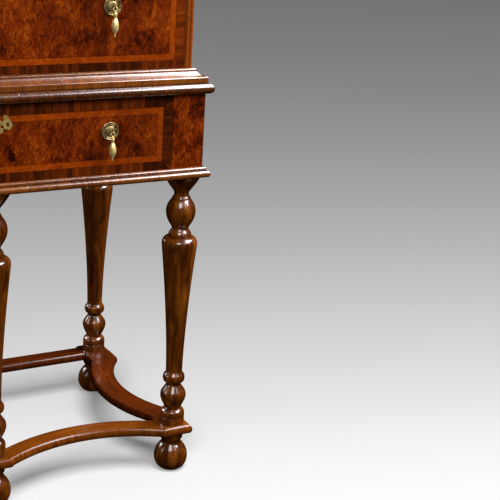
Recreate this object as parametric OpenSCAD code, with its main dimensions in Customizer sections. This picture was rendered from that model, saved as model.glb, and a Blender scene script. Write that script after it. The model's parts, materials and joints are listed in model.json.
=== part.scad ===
// Tall chest of drawers: a walnut-veneered chest that stands inside the waist moulding of a
// five-legged stand. The stand has one long drawer, turned legs, bun feet and flat shaped
// stretchers. Millimetres, +Z up, the front faces -Y, and the origin is the centre of the footprint
// on the floor.

/* [Stand] */
// Distance from the centre front leg to each outer leg
leg_pitch = 316; // [290:1:340]
// Distance from the front legs to the back legs
leg_depth = 344; // [300:1:370]
// Distance from a leg's axis to the outer faces of the stand's case
leg_inset = 23; // [21:1:26]
// Height of the flat underside of the stand's case above the floor
case_under = 521; // [490:1:550]
// Height of the stand drawer's opening
stand_opening = 117.5; // [95:0.5:130]
// Width of the veneered stile at each end of the stand drawer
stile_w = 54; // [40:1:70]

/* [Legs and stretchers] */
// Underside of the stretchers above the floor
stretcher_z = 68; // [66:1:72]
// Thickness of the stretchers
stretcher_t = 16; // [14:1:18]
// How far the half-round edge of a stretcher stands out
stretcher_round = 5.5; // [3:0.5:6]
// Half the flat width of the square pad under each leg
pad_half = 21; // [20:0.5:22]
// Flat width of the front stretchers
front_arm_w = 26; // [18:1:30]
// Flat width of the side stretchers
side_arm_w = 33.5; // [30:0.5:38]
// Flat width of the back stretcher
back_arm_w = 25; // [20:1:28]

/* [Chest] */
// How far the chest stands in from the faces of the stand
chest_inset = 18; // [15:1:19]
// Heights of the four rows of drawers, from the bottom one up
rows = [169, 149, 132, 108];
// Thickness of the chest's sides and of the boards between the drawers
board_t = 12; // [11:0.5:13]
// Height of the cornice
cornice_h = 48; // [40:1:60]
// How far the cornice stands out from the chest
cornice_out = 30; // [24:1:32]

/* [Drawers] */
// Thickness of a drawer's front
front_t = 20; // [18:1:22]
// Thickness of a drawer's sides and back
lining_t = 9; // [8:0.5:11]
// Gap between a drawer's front and its opening
gap = 0.5; // [0.4:0.1:0.8]
// Height of a handle as a share of its drawer's height
handle_share = 0.573; // [0.5:0.001:0.6]

/* [Handles] */
// Distance from the middle of the stand drawer to its handles
stand_handle_x = 179; // [150:1:200]
// Distance from the middle of a long chest drawer to its handles
chest_handle_x = 186; // [150:1:210]
// Distance from the middle of a short drawer to its handles
short_handle_x = 70; // [50:1:90]
// Diameter of a handle's round backplate
plate_d = 28.5; // [24:0.5:32]
// Distance of a handle's hinge axis in front of the drawer
hinge_out = 10.5; // [10:0.1:12]

/* [Output] */
// Sub-part to draw, or all of them

/* [Hidden] */
$fn = 64;
eps = 0.01;

// Legs: [name, x, y] with the front legs on y = 0
legs = [
    ["front_left", -leg_pitch, 0], ["front_centre", 0, 0], ["front_right", leg_pitch, 0],
    ["back_left", -leg_pitch, leg_depth], ["back_right", leg_pitch, leg_depth]
];

// Stand case
case_x = leg_pitch + leg_inset;
case_front = -leg_inset;
case_back = leg_depth + leg_inset;
base_t = 16.5;
base_w = 56;
case_z = case_under + base_t;
case_top = case_z + stand_opening;
case_t = 18;
stand_top_t = 7;
waist_h = 38;
waist_out = 10.5;
drawer_x = case_x - stile_w;

// Chest
chest_x = case_x - chest_inset;
chest_front = case_front + chest_inset;
chest_back = case_back;
chest_z = case_top + stand_top_t;
rows_z = case_top + waist_h;
inner_x = chest_x - board_t;
back_t = 10;
floor_t = 16;
function row_z(i) = rows_z + (i == 0 ? 0 : row_z(i - 1) - rows_z + rows[i - 1] + board_t);
cornice_z = row_z(3) + rows[3] + board_t;
total_h = cornice_z + cornice_h;
lid_t = 12;

// Stretchers
foot_h = stretcher_z;
pad_top = stretcher_z + stretcher_t;
pad_mid = stretcher_z + stretcher_t / 2;
dowel_r = 9;
fit = 0.05;

// Handle
plate_r = plate_d / 2;
drop_r = 5.5;
staple_r = 2.4;
staple_wire = 1;
eye_r = 2.9;
eye_wire = 1.1;
shank_r = 1.3;
drop_len = 44.5;

// Middle of the whole depth, from the stand drawer's handles to the back legs' turned caps
cap_r = 29;
y_mid = (case_front - hinge_out - drop_r + leg_depth + cap_r) / 2;

// Drawers: [name, centre x, half width, front plane, bottom z, height, handle offset]
short_x = (board_t / 2 + inner_x) / 2;
short_half = (inner_x - board_t / 2) / 2;
drawers = [
    ["stand_drawer", 0, drawer_x, case_front, case_z, stand_opening, stand_handle_x],
    ["bottom_drawer", 0, inner_x, chest_front, row_z(0), rows[0], chest_handle_x],
    ["middle_drawer", 0, inner_x, chest_front, row_z(1), rows[1], chest_handle_x],
    ["upper_drawer", 0, inner_x, chest_front, row_z(2), rows[2], chest_handle_x],
    ["top_left_drawer", -short_x, short_half, chest_front, row_z(3), rows[3], short_handle_x],
    ["top_right_drawer", short_x, short_half, chest_front, row_z(3), rows[3], short_handle_x]
];
hands = [["left", -1], ["right", 1]];

walnut = [0.42, 0.20, 0.06];
burr = [0.50, 0.24, 0.07];
turned = [0.30, 0.14, 0.05];
oak = [0.62, 0.45, 0.26];
brass = [0.80, 0.68, 0.38];

// ---------- helpers ----------

// Points of an elliptical arc
function arc(cx, cy, rx, ry, a0, a1, n = 8) =
    [for (i = [0:n]) let (a = a0 + (a1 - a0) * i / n) [cx + rx * cos(a), cy + ry * sin(a)]];

// Moves a sub-part from the leg frame into the part's frame
module placed() translate([0, -y_mid, 0]) children();

// A box from its two corners
module block(a, b) translate(a) cube(b - a);

// Extrudes an outline drawn as [outward, up] along X, facing -Y, with its zero on y
module run_x(y, x0, x1)
    translate([x0, y, 0]) rotate([90, 0, 90]) linear_extrude(x1 - x0) mirror([1, 0]) children();

// Extrudes an outline drawn as [outward, up] along Y, facing +X, with its zero on x
module run_y(x, y0, y1)
    translate([x, y1, 0]) rotate([90, 0, 0]) linear_extrude(y1 - y0) children();

// A moulding on the front and both sides, mitred at the front corners, as three solids.
// hx and fy are the faces it is fixed to, and depth is its reach behind them.
module mitred_run(hx, fy, by, depth) {
    out = 60;
    intersection() {
        run_x(fy, -hx - out, hx + out) children();
        linear_extrude(total_h + 1) polygon([
            [-hx - out, fy - out], [hx + out, fy - out],
            [hx - depth, fy + depth], [-hx + depth, fy + depth]]);
    }
    for (s = [-1, 1]) mirror([s < 0 ? 1 : 0, 0, 0]) intersection() {
        run_y(hx, fy - out, by) children();
        linear_extrude(total_h + 1) polygon([
            [hx + out, fy - out], [hx + out, by + 1],
            [hx - depth, by + 1], [hx - depth, fy + depth]]);
    }
}

// ---------- mouldings ----------

// Two reeds along the base of the stand, as [outward, up] from the case's face
module base_outline() {
    z0 = case_under;
    polygon(concat(
        [[-base_w, z0]],
        arc(6, z0 + 5.2, 4.5, 5.2, -90, 80, 10),
        [[3.4, z0 + 10.8]],
        arc(1.8, z0 + 13.6, 3.4, 2.7, -60, 60, 6),
        [[0.4, z0 + base_t], [-base_w, z0 + base_t]]));
}

// Torus, fillet, cove and bead between the stand and the chest
module waist_outline() {
    z0 = case_top;
    inner = -chest_inset + 0.3;
    polygon(concat(
        [[inner, z0], [0.5, z0]],
        arc(2.7, z0 + 8.3, waist_out - 2.7, 7.8, -75, 85, 10),
        [[1.4, z0 + 16.6], [1.4, z0 + 17.6], [2.6, z0 + 18], [2.6, z0 + 25.4]],
        arc(0.5, z0 + 40, 13.5, 13.5, -85, -150, 6),
        arc(-14.2, z0 + waist_h - 3, 2.8, 2.8, -40, 80, 6),
        [[-14, z0 + waist_h], [inner, z0 + waist_h]]));
}

// Bead, cove, ovolo and top fillet around the top of the chest
module cornice_outline() {
    z0 = cornice_z;
    k = cornice_out;
    polygon(concat(
        [[0, z0]],
        arc(2.6, z0 + 2.8, 2.8, 2.8, -90, 90, 6),
        [[2, z0 + 8]],
        arc(k * 0.62, z0 + 8, k * 0.62 - 2, 17, 180, 90, 8),
        [[k * 0.66, z0 + 25], [k * 0.66, z0 + 28]],
        arc(k * 0.66, z0 + 39, k * 0.27, 11, -90, 0, 8),
        [[k, z0 + 39], [k, z0 + cornice_h], [0, z0 + cornice_h]]));
}

// ---------- stand ----------

module stand_base() color(walnut) placed() difference() {
    union() {
        mitred_run(case_x, case_front, case_back, base_w) base_outline();
        block([-case_x + base_w, case_back - base_w, case_under],
              [case_x - base_w, case_back, case_z]);
    }
    for (l = legs) translate([l[1], l[2], case_under - 1])
        cylinder(r = dowel_r + fit, h = base_t + 2);
}

// Side panel with its drawer runner and guide as a second solid
module stand_side(s) color(walnut) placed() mirror([s < 0 ? 1 : 0, 0, 0]) {
    block([case_x - case_t, case_front + case_t, case_z], [case_x, case_back, case_top]);
    run_y(0, case_front + front_t + gap, case_back - case_t) polygon([
        [drawer_x - 26, case_z], [case_x - case_t, case_z],
        [case_x - case_t, case_z + 35], [drawer_x + 0.4, case_z + 35],
        [drawer_x + 0.4, case_z + 5], [drawer_x - 26, case_z + 5]]);
}

module stand_back() color(oak) placed()
    block([-case_x + case_t, case_back - case_t, case_z],
          [case_x - case_t, case_back, case_top]);

module stand_stiles() color(burr) placed() for (s = [-1, 1])
    block([s * case_x - (s > 0 ? stile_w : 0), case_front, case_z],
          [s * case_x + (s < 0 ? stile_w : 0), case_front + case_t, case_top]);

module stand_top() color(oak) placed()
    block([-chest_x + 0.3, chest_front + 0.3, case_top], [chest_x - 0.3, case_back, chest_z]);

module waist_moulding() color(walnut) placed()
    mitred_run(case_x, case_front, case_back, chest_inset - 0.3) waist_outline();

// ---------- legs and feet ----------

// Half outline of a turned leg with its dowels, from the bottom up
function leg_outline() = let (
    z0 = pad_top, z1 = case_under, taper0 = z0 + 96, taper1 = z1 - 115
) concat(
    [[0, z0 - 38], [dowel_r, z0 - 38], [dowel_r, z0], [20.8, z0], [20.8, z0 + 11.5]],
    [[20.1, z0 + 12.5], [20.8, z0 + 13.5]],
    arc(15.8, z0 + 20, 5, 5.5, 0, 80, 5),
    [[13.7, z0 + 26.6]],
    arc(0, z0 + 51.5, 21.7, 31, -50, 0, 6),
    arc(0, z0 + 51.5, 21.7, 26, 8, 56, 6),
    [[12, z0 + 74.6]],
    arc(11.8, z0 + 84.8, 6.7, 9.4, -80, 80, 8),
    [for (i = [0:12]) let (t = i / 12) [13 + 15 * pow(t, 2.1), taper0 + (taper1 - taper0) * t]],
    arc(23, taper1 + 1.5, 5, 8, 0, 90, 6),
    [[21, taper1 + 10], [19.5, taper1 + 13], [16, taper1 + 19], [13.6, taper1 + 27]],
    arc(0, z1 - 63, 23.3, 26, -54, 60, 12),
    [[11.6, z1 - 39]],
    arc(19, z1 - 32, 7.4, 8, 180, 115, 5),
    arc(11, z1 - 4, cap_r - 11, 19, -66, 0, 8),
    [[cap_r, z1 - 2], [cap_r - 1.2, z1], [dowel_r, z1]],
    [[dowel_r, z1 + base_t - 1], [0, z1 + base_t - 1]]);

module leg(i) color(turned) placed() translate([legs[i][1], legs[i][2], 0])
    rotate_extrude() polygon(leg_outline());

// Bun foot, hollow at the top for the leg's dowel
module foot(i) color(turned) placed() translate([legs[i][1], legs[i][2], 0]) difference() {
    rotate_extrude() polygon(concat(
        [[0, 0], [14, 0]],
        arc(0, 25, cap_r, 28.6, -61, 0, 8),
        arc(0, 25, cap_r, 31, 7, 53, 6),
        arc(25, 58.5, 8, 9, 200, 120, 6),
        [[22, foot_h], [0, foot_h]]));
    translate([0, 0, pad_top - 40]) cylinder(r = dowel_r + fit, h = foot_h);
}

// ---------- stretchers ----------

// Cross section with half-round edges, flat width w, centred on c
module stretcher_section(c, w)
    translate([c, pad_mid]) polygon(concat(
        arc(w / 2, 0, stretcher_round, stretcher_t / 2, -90, 90, 10),
        arc(-w / 2, 0, stretcher_round, stretcher_t / 2, 90, 270, 10)));

// Square pad with half-round edges mitred at its corners
module pad(x, y) intersection() {
    run_x(y, x - 40, x + 40) stretcher_section(0, 2 * pad_half);
    run_y(x, y - 40, y + 40) stretcher_section(0, 2 * pad_half);
}

module pad_layer(x, y, upper) intersection() {
    pad(x, y);
    block([x - 40, y - 40, upper ? pad_mid : stretcher_z - 1],
          [x + 40, y + 40, upper ? pad_top + 1 : pad_mid]);
}

// Front stretcher between the centre leg and the right leg: one arc that bows to the back
bow = 40;
half_span = leg_pitch / 2 - pad_half;
front_r = (half_span * half_span + bow * bow) / (2 * bow);
front_apex = bow - pad_half + 0.5;
module front_arm(s) intersection() {
    translate([s * leg_pitch / 2, front_apex - front_r, 0]) rotate_extrude($fn = 160)
        stretcher_section(front_r + front_arm_w / 2, front_arm_w);
    block([s > 0 ? pad_half : -leg_pitch + pad_half, -60, 0],
          [s > 0 ? leg_pitch - pad_half : -pad_half, 60, 200]);
}

// Right side stretcher: one arc that bows inward between two short straight ends
side_bow = 42.5;
side_half = 125;
side_r = (side_half * side_half + side_bow * side_bow) / (2 * side_bow);
side_mid = leg_depth / 2 - 4;
side_apex = leg_pitch + pad_half - side_bow;
side_inner = side_apex + side_r - sqrt(pow(side_r + side_arm_w, 2) - side_half * side_half);
module side_arm(s) mirror([s < 0 ? 1 : 0, 0, 0]) {
    intersection() {
        translate([side_apex + side_r, side_mid, 0]) rotate_extrude($fn = 160)
            stretcher_section(side_r + side_arm_w / 2, side_arm_w);
        block([0, side_mid - side_half, 0],
              [leg_pitch + pad_half + stretcher_round, side_mid + side_half, 200]);
    }
    end_w = leg_pitch + pad_half - side_inner;
    for (span = [[pad_half, side_mid - side_half + eps],
                 [side_mid + side_half - eps, leg_depth - pad_half]])
        run_y(side_inner + end_w / 2, span[0], span[1]) stretcher_section(0, end_w);
}

module back_arm()
    run_x(leg_depth + 1, -leg_pitch + pad_half, leg_pitch - pad_half)
        stretcher_section(0, back_arm_w);

module leg_bores() for (l = legs) translate([l[1], l[2], stretcher_z - 1])
    cylinder(r = dowel_r + fit, h = stretcher_t + 2);

// The pads are half-lapped: front and back stretchers have the upper halves
module front_stretcher(s) color(burr) placed() difference() {
    union() {
        front_arm(s);
        pad_layer(s * leg_pitch, 0, true);
        pad_layer(0, 0, s < 0);
    }
    side_arm(s);
    front_arm(-s);
    leg_bores();
}

module side_stretcher(s) color(burr) placed() difference() {
    union() {
        side_arm(s);
        pad_layer(s * leg_pitch, 0, false);
        pad_layer(s * leg_pitch, leg_depth, false);
    }
    front_arm(s);
    back_arm();
    leg_bores();
}

module back_stretcher() color(burr) placed() difference() {
    union() {
        back_arm();
        for (s = [-1, 1]) pad_layer(s * leg_pitch, leg_depth, true);
    }
    for (s = [-1, 1]) side_arm(s);
    leg_bores();
}

// ---------- chest ----------

module chest_side(s) color(burr) placed() mirror([s < 0 ? 1 : 0, 0, 0])
    block([inner_x, chest_front, chest_z], [chest_x, chest_back, total_h - lid_t]);

// Bottom board, with a rail under its front edge as a second solid
module chest_bottom() color(oak) placed() {
    block([-inner_x, chest_front, rows_z - floor_t], [inner_x, chest_back - back_t, rows_z]);
    block([-inner_x, chest_front, chest_z], [inner_x, chest_front + 24, rows_z - floor_t]);
}

module chest_back() color(oak) placed()
    block([-inner_x, chest_back - back_t, chest_z], [inner_x, chest_back, total_h - lid_t]);

// Boards above each row of drawers, and the partition between the short drawers
module chest_boards() color(oak) placed() {
    for (i = [0:3]) translate([-inner_x, chest_front, row_z(i) + rows[i]])
        cube([2 * inner_x, chest_back - back_t - chest_front, board_t]);
    translate([-board_t / 2, chest_front, row_z(3) + fit])
        cube([board_t, chest_back - back_t - chest_front, rows[3] - 2 * fit]);
}

// Lid, with the rail behind the cornice as a second solid
module chest_top() color(walnut) placed() {
    block([-chest_x, chest_front, total_h - lid_t], [chest_x, chest_back, total_h]);
    block([-inner_x, chest_front, cornice_z], [inner_x, chest_front + 18, total_h - lid_t]);
}

// Cross section of the applied double bead, centred, standing out along +X
bead_w = board_t - 0.4;
module bead_section() {
    polygon(concat(
        [[0, -bead_w / 2], [0.8, -bead_w / 2]],
        arc(0.8, -bead_w / 4, 2.7, bead_w / 4, -90, 90, 8),
        arc(0.8, bead_w / 4, 2.7, bead_w / 4, -90, 90, 8),
        [[0.8, bead_w / 2], [0, bead_w / 2]]));
}

module bead_across(x0, x1, z) run_x(chest_front, x0, x1) translate([0, z]) bead_section();

module bead_up(x, z0, z1) translate([x, chest_front, z0])
    linear_extrude(z1 - z0) rotate(-90) bead_section();

module chest_beads() color(walnut) placed() {
    for (s = [-1, 1]) bead_up(s * (inner_x + board_t / 2), rows_z, cornice_z);
    for (i = [0:3])
        bead_across(-inner_x + 0.2, inner_x - 0.2, row_z(i) + rows[i] + board_t / 2);
    bead_up(0, row_z(3) + 0.2, row_z(3) + rows[3] + 0.2);
}

module cornice() color(walnut) placed()
    mitred_run(chest_x, chest_front, chest_back, 0.01) cornice_outline();

// ---------- drawers ----------

function drawer_z0(d) = d[4] + gap + 0.1;
function drawer_z1(d) = d[4] + d[5] - gap;
function handle_z(d) = d[4] + handle_share * d[5];
function lock_z(d) = d[4] + 0.74 * d[5];

module drawer_front(d) color(burr) placed() difference() {
    block([d[1] - d[2] + gap, d[3], drawer_z0(d)], [d[1] + d[2] - gap, d[3] + front_t, drawer_z1(d)]);
    for (s = [-1, 1]) translate([d[1] + s * d[6], d[3] - 1, handle_z(d)])
        rotate([-90, 0, 0]) cylinder(r = shank_r + fit, h = front_t + 2, $fn = 24);
    keyhole(d, 12);
}

module keyhole(d, depth) translate([d[1], d[3] - 2, lock_z(d)]) rotate([-90, 0, 0]) {
    cylinder(r = 2.2, h = depth + 2, $fn = 24);
    translate([-1, 0, 0]) cube([2, 6.5, depth + 2]);
}

// Sides, back and bottom as four solids
box_depth = 316;
bottom_t = 6;
module drawer_box(d) color(oak) placed() {
    x0 = d[1] - d[2] + gap + 0.2;
    x1 = d[1] + d[2] - gap - 0.2;
    y0 = d[3] + front_t;
    z0 = d[4] + (d[3] == case_front ? 5.3 : gap + 0.1);
    z1 = drawer_z1(d) - 5;
    block([x0, y0, z0], [x0 + lining_t, y0 + box_depth, z1]);
    block([x1 - lining_t, y0, z0], [x1, y0 + box_depth, z1]);
    block([x0 + lining_t, y0 + box_depth - lining_t, z0 + 4],
          [x1 - lining_t, y0 + box_depth, z1]);
    block([x0 + lining_t, y0, z0 + 4],
          [x1 - lining_t, y0 + box_depth - lining_t, z0 + 4 + bottom_t]);
}

// Round backplate with a raised rim, a ring and a low dome
module backplate() rotate([90, 0, 0]) rotate_extrude() polygon(concat(
    [[shank_r + fit, 0], [plate_r - 0.6, 0]],
    arc(plate_r - 1.2, 0.9, 1.2, 0.9, -40, 160, 6),
    [[plate_r - 3.2, 0.9]],
    arc(plate_r - 4.2, 0.9, 0.9, 0.9, 10, 170, 6),
    [[plate_r - 5.6, 0.9]],
    arc(0, 0.9, plate_r - 6, 2, 0, 78, 8),
    [[shank_r + fit, 2.9]]));

// Wire staple: a ring around the hinge axis on a shank that runs through the drawer's front
module staple() {
    translate([0, -hinge_out, 0]) rotate([0, 90, 0]) rotate_extrude($fn = 48)
        translate([staple_r, 0]) circle(r = staple_wire, $fn = 20);
    translate([0, -hinge_out + staple_r, 0]) rotate([-90, 0, 0])
        cylinder(r = shank_r, h = hinge_out - staple_r + front_t + 2, $fn = 24);
}

// Pierced scrolling escutcheon, drawn on its own centre
module escutcheon_outline() difference() {
    union() {
        circle(r = 8.5);
        translate([0, 12.6]) circle(r = 4.4);
        translate([0, -11]) circle(r = 5);
        translate([0, -16]) circle(r = 2.8);
        for (s = [-1, 1]) {
            hull() {
                translate([s * 13.6, 12.4]) circle(r = 3);
                translate([s * 17.6, -0.4]) circle(r = 6.7);
            }
            translate([s * 8.4, 1]) circle(r = 7);
            translate([s * 6.2, -8.4]) circle(r = 4.2);
        }
    }
    for (s = [-1, 1]) {
        translate([s * 17.2, 0.6]) scale([1, 1.3]) circle(r = 2.4);
        translate([s * 9, -2.6]) circle(r = 2.2);
        translate([s * 8.6, 8]) circle(r = 2.6);
    }
    circle(r = 2.2);
    translate([-1, -6.5]) square([2, 6.5]);
}

module lock(d) difference() {
    block([d[1] - 26, d[3] + front_t, lock_z(d) - 18], [d[1] + 26, d[3] + front_t + 11, lock_z(d) + 16]);
    keyhole(d, front_t + 4);
}

module drawer_fittings(d) color(brass) placed() {
    for (s = [-1, 1]) translate([d[1] + s * d[6], d[3], handle_z(d)]) {
        backplate();
        staple();
    }
    translate([d[1], d[3], lock_z(d)]) rotate([90, 0, 0]) linear_extrude(1.4) escutcheon_outline();
    lock(d);
}

// Pear drop that hangs from the staple by its eye
module drop(d, s) color(brass) placed()
    translate([d[1] + s * d[6], d[3] - hinge_out, handle_z(d)]) {
        translate([0, 0, -eye_r]) rotate([90, 0, 0]) rotate_extrude($fn = 48)
            translate([eye_r, 0]) circle(r = eye_wire, $fn = 20);
        rotate_extrude($fn = 40) polygon(concat(
            [[0, -drop_len]],
            arc(0, -drop_len + 1.2, 1.2, 1.2, -60, 0, 3),
            [[1.2, -39.2], [2.4, -38.2]],
            arc(0, -28.5, drop_r, 10, -64, 0, 6),
            arc(0, -28.5, drop_r, 13.5, 8, 62, 6),
            [[2.2, -15], [2.7, -11.5], [2.6, -9.2], [1.9, -8], [2.3, -7.2], [1.6, -6.2], [0, -6.2]]));
    }

// ---------- nodes ----------

stand_base();
stand_side(-1);  // stand_side_left
stand_side(1);  // stand_side_right
stand_back();
stand_stiles();
stand_top();
waist_moulding();
back_stretcher();
for (i = [0:4]) leg(i);
for (i = [0:4]) foot(i);
for (h = hands) front_stretcher(h[1]);
for (h = hands) side_stretcher(h[1]);
chest_side(-1);  // chest_side_left
chest_side(1);  // chest_side_right
chest_bottom();
chest_back();
chest_boards();
chest_top();
chest_beads();
cornice();
for (d = drawers) drawer_front(d);
for (d = drawers) drawer_box(d);
for (d = drawers) drawer_fittings(d);
for (d = drawers, h = hands) drop(d, h[1]);
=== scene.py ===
"""Looks of the tall chest of drawers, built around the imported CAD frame.

Lengths in the leg frame are millimetres: X right, Y back, Z up, with zero on the floor at the
centre front leg's axis. The part frame has the same axes, in metres, with Y moved by Y_MID.
"""
import bmesh
import bpy
import json
import math
import random
from mathutils import Matrix, Vector


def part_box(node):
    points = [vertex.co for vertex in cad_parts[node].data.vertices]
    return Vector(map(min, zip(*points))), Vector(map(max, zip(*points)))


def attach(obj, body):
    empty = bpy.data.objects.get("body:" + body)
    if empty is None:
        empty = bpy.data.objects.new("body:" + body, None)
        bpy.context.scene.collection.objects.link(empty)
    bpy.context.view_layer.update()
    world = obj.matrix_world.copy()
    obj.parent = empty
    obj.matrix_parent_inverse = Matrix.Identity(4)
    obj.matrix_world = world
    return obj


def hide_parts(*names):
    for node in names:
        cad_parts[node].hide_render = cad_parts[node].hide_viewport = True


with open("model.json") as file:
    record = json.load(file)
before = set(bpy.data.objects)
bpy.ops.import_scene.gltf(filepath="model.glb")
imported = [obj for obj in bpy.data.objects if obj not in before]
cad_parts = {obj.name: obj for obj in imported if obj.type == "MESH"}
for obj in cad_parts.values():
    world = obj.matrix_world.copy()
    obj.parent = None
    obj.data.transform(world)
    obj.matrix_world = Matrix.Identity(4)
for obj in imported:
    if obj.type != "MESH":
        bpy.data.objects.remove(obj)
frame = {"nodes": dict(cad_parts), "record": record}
NODES = frame["nodes"]
BODY_OF = {n: b for b, ns in frame["record"]["behaviour"]["bodies"].items() for n in ns}
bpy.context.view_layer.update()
MM = 0.001
LEG_LO, LEG_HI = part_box("leg_front_centre")
Y_MID = -(LEG_LO.y + LEG_HI.y) / 2
scene = bpy.context.scene


# ---------- node trees ----------

class Tree:
    """A material's node tree, with short calls for the nodes that the finishes use."""

    def __init__(self, name, **shader):
        self.mat = bpy.data.materials.new(name)
        self.mat.use_nodes = True
        self.tree = self.mat.node_tree
        self.tree.nodes.clear()
        output = self.tree.nodes.new("ShaderNodeOutputMaterial")
        self.shader = self.tree.nodes.new("ShaderNodeBsdfPrincipled")
        self.tree.links.new(self.shader.outputs[0], output.inputs[0])
        self.set(**shader)

    def set(self, **sockets):
        for name, value in sockets.items():
            self.put(self.shader.inputs[name.replace("_", " ")], value)

    def put(self, socket, value):
        if isinstance(value, bpy.types.NodeSocket):
            self.tree.links.new(value, socket)
        else:
            socket.default_value = value

    def add(self, kind, *values, named=None, out=0, **props):
        node = self.tree.nodes.new("ShaderNode" + kind)
        for key, value in props.items():
            setattr(node, key, value)
        for i, value in enumerate(values):
            if value is not None:
                self.put(node.inputs[i], value)
        for key, value in (named or {}).items():
            self.put(node.inputs[key], value)
        return node.outputs[out]

    def math(self, op, *values):
        return self.add("Math", *values, operation=op)

    def vector(self, x, y, z):
        return self.add("CombineXYZ", x, y, z)

    def split(self, vector):
        node = self.tree.nodes.new("ShaderNodeSeparateXYZ")
        self.put(node.inputs[0], vector)
        return list(node.outputs)

    def place(self):
        """The three coordinates of the part's own space, in metres."""
        return self.split(self.add("TexCoord", out=3))

    def noise(self, vector, scale=1.0, detail=2.0, rough=0.5, twist=0.0, out=0):
        named = {"Vector": vector, "Scale": scale, "Detail": detail, "Roughness": rough,
                 "Distortion": twist}
        return self.add("TexNoise", named=named, out=out)

    def figure(self, u, v, w, cells, detail, rough=0.5, twist=0.0):
        """Noise with this many cells per metre along u and v."""
        scaled = [self.math("MULTIPLY", c, n) for c, n in zip((u, v), cells)]
        return self.noise(self.vector(*scaled, w), 1, detail, rough, twist)

    def ramp(self, value, stops):
        node = self.tree.nodes.new("ShaderNodeValToRGB")
        self.put(node.inputs[0], value)
        elements = node.color_ramp.elements
        while len(elements) < len(stops):
            elements.new(0.5)
        for element, (position, colour) in zip(elements, stops):
            element.position = position
            element.color = (*colour, 1)
        return node.outputs[0]

    def levels(self, value, lo, hi, a=0.0, b=1.0):
        """Smooth step of value from a at lo to b at hi."""
        named = {"Value": value, "From Min": lo, "From Max": hi, "To Min": a, "To Max": b}
        return self.add("MapRange", named=named, interpolation_type="SMOOTHSTEP")

    def mix(self, share, a, b):
        node = self.tree.nodes.new("ShaderNodeMix")
        node.data_type = "RGBA"
        for i, value in ((0, share), (6, a), (7, b)):
            if isinstance(value, tuple):
                value = (*value, 1)
            self.put(node.inputs[i], value)
        return node.outputs[2]

    def blend(self, share, a, b):
        """Mix of two numbers."""
        return self.math("ADD", a, self.math("MULTIPLY", share, self.math("SUBTRACT", b, a)))

    def bump(self, height, strength, distance):
        return self.add("Bump", named={"Height": height, "Strength": strength,
                                       "Distance": distance})


def srgb(r, g, b):
    """A colour of 0 to 255 in each channel, as linear light."""
    return tuple(((c / 255 + 0.055) / 1.055) ** 2.4 if c > 10 else c / 255 / 12.92
                 for c in (r, g, b))


# ---------- wood ----------

# Lengths in the veneers and joints, in metres
DOVETAIL, DOVETAIL_PITCH = 0.016, 0.038
DOVETAIL_SLOPE, DOVETAIL_SHARE = -0.22, 0.4
STRIP, STRIP_JOINT = 0.118, 0.497
UPRIGHT_SHIFT = 3.3
GLUE_LINE = 0.00035
BORDER, FEATHER_BAND = 0.017, 0.010

# Colour ramps, from the dark figure to the light
BURR = [(0.14, srgb(34, 7, 1)), (0.34, srgb(76, 21, 1)), (0.50, srgb(103, 34, 1)),
        (0.66, srgb(125, 48, 3)), (0.88, srgb(158, 74, 8))]
CROSS = [(0.20, srgb(26, 8, 1)), (0.40, srgb(54, 19, 2)), (0.58, srgb(88, 33, 3)),
         (0.85, srgb(140, 57, 5))]
FEATHER = [(0.20, srgb(110, 38, 1)), (0.50, srgb(152, 59, 2)), (0.80, srgb(184, 82, 5))]
TURNED = [(0.16, srgb(28, 10, 1)), (0.40, srgb(64, 27, 2)), (0.58, srgb(95, 45, 4)),
          (0.84, srgb(142, 79, 14))]
MOULDED = [(0.15, srgb(66, 30, 4)), (0.50, srgb(104, 51, 8)), (0.85, srgb(144, 78, 14))]
BEADED = [(0.15, srgb(66, 22, 2)), (0.50, srgb(108, 42, 4)), (0.85, srgb(148, 68, 9))]
GOLDEN = [(0.18, srgb(64, 26, 3)), (0.40, srgb(100, 47, 5)), (0.60, srgb(128, 65, 8)),
          (0.84, srgb(154, 86, 18))]
RUSSET = [(0.18, srgb(42, 14, 2)), (0.40, srgb(70, 26, 2)), (0.60, srgb(92, 37, 4)),
          (0.84, srgb(122, 55, 10))]
OAK = [(0.20, srgb(116, 77, 40)), (0.42, srgb(146, 102, 56)), (0.60, srgb(168, 121, 70)),
       (0.85, srgb(190, 146, 92))]


def burr_figure(t, u, v, seed):
    """Burr walnut: fine mottle drawn out up the sheet, darker clouds, small knots and pores."""
    p = t.vector(u, v, seed)
    curl = t.split(t.noise(p, 55, 3, 0.6, out=1))
    wu = t.math("MULTIPLY_ADD", t.math("SUBTRACT", curl[0], 0.5), 0.014, u)
    wv = t.math("MULTIPLY_ADD", t.math("SUBTRACT", curl[1], 0.5), 0.018, v)
    clouds = t.figure(wu, wv, seed, (24, 16), 3, 0.5, 0.8)
    mottle = t.figure(wu, wv, seed, (120, 62), 3, 0.6, 1.5)
    streaks = t.figure(wu, wv, seed, (420, 120), 3, 0.6, 0.8)
    pores = t.figure(u, v, seed, (1100, 260), 2)
    knot = t.tree.nodes.new("ShaderNodeTexVoronoi")
    t.put(knot.inputs["Vector"], t.vector(wu, t.math("MULTIPLY", wv, 0.75), seed))
    t.put(knot.inputs["Scale"], 40.0)
    spot = t.levels(knot.outputs["Distance"], 0.06, 0.36, 1.0, 0.0)
    rare = t.levels(t.split(knot.outputs["Color"])[0], 0.72, 0.80)
    eye = t.math("MULTIPLY", spot, rare)
    value = t.math("MULTIPLY_ADD", clouds, 0.75, t.math("MULTIPLY", mottle, 0.75))
    value = t.math("MULTIPLY_ADD", streaks, 0.55, value)
    value = t.math("MULTIPLY_ADD", pores, 0.20, value)
    value = t.math("SUBTRACT", value, 0.625)
    value = t.math("MULTIPLY_ADD", t.math("SUBTRACT", value, 0.5), 1.45, 0.5)
    return t.math("MULTIPLY_ADD", eye, -0.3, value), pores


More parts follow.
